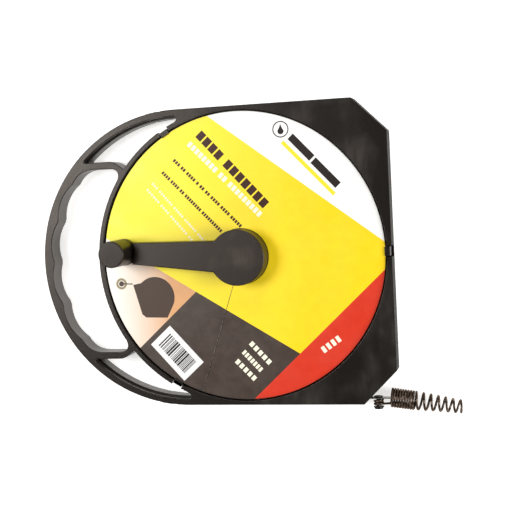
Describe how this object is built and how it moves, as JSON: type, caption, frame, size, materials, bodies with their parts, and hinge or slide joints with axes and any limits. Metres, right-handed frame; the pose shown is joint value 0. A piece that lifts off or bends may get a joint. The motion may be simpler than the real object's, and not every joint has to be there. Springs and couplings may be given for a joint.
{
  "type": "drain auger",
  "caption": "Hand sink auger: flat moulded case with a D-handle, a crank-turned snap-in reel holding a coiled flat steel tape, and a spiral spring head on the tape's end.",
  "frame": {"origin": "on the reel's axis, at the flat back of the case", "axes": "+Z out of the back along the reel's axis towards the crank and knob, +X from the D-handle towards the case's flat side and the way the tape leaves, +Y up across the case away from the tape's outlet"},
  "size_m": [0.2916, 0.2144, 0.0415],
  "materials": {
    "case_plastic": "black moulded ABS with a fine grained mould texture",
    "reel_plastic": "black moulded ABS",
    "crank_plastic": "black moulded ABS, faintly satin from handling",
    "label_paper": "printed and varnished paper label: white, yellow, dark brown and red fields",
    "tape_steel": "blued spring-steel strip, oiled",
    "screw_steel": "bright zinc-plated steel",
    "rivet_steel": "dark oiled steel",
    "spring_steel": "oil-tempered spring wire, brown-black"
  },
  "bodies": {
    "case": {"housing": "case_plastic"},
    "reel_and_crank": {"reel": "reel_plastic", "label": "label_paper", "crank": "crank_plastic", "crank_screw_1": "screw_steel", "crank_screw_2": "screw_steel", "crank_screw_3": "screw_steel", "tape_coil": "tape_steel", "tape_anchor_rivet_1": "screw_steel", "tape_anchor_rivet_2": "screw_steel"},
    "crank_knob": {"knob": "crank_plastic"},
    "tape_and_head": {"tape_lead": "tape_steel", "head_rivet": "rivet_steel", "head_washer": "rivet_steel", "auger_head": "spring_steel"}
  },
  "joints": [
    {"name": "reel_spin", "type": "hinge", "parent": "case", "child": "reel_and_crank", "pos_m": [0, 0, 0.0275], "axis": [0, 0, 1], "continuous": true},
    {"name": "knob_spin", "type": "hinge", "parent": "reel_and_crank", "child": "crank_knob", "pos_m": [-0.08479, 0.00593, 0.03], "axis": [0, 0, 1], "continuous": true},
    {"name": "tape_feed", "type": "slide", "parent": "case", "child": "tape_and_head", "axis": [1, 0, 0], "range_m": [0, 0.08]}
  ]
}
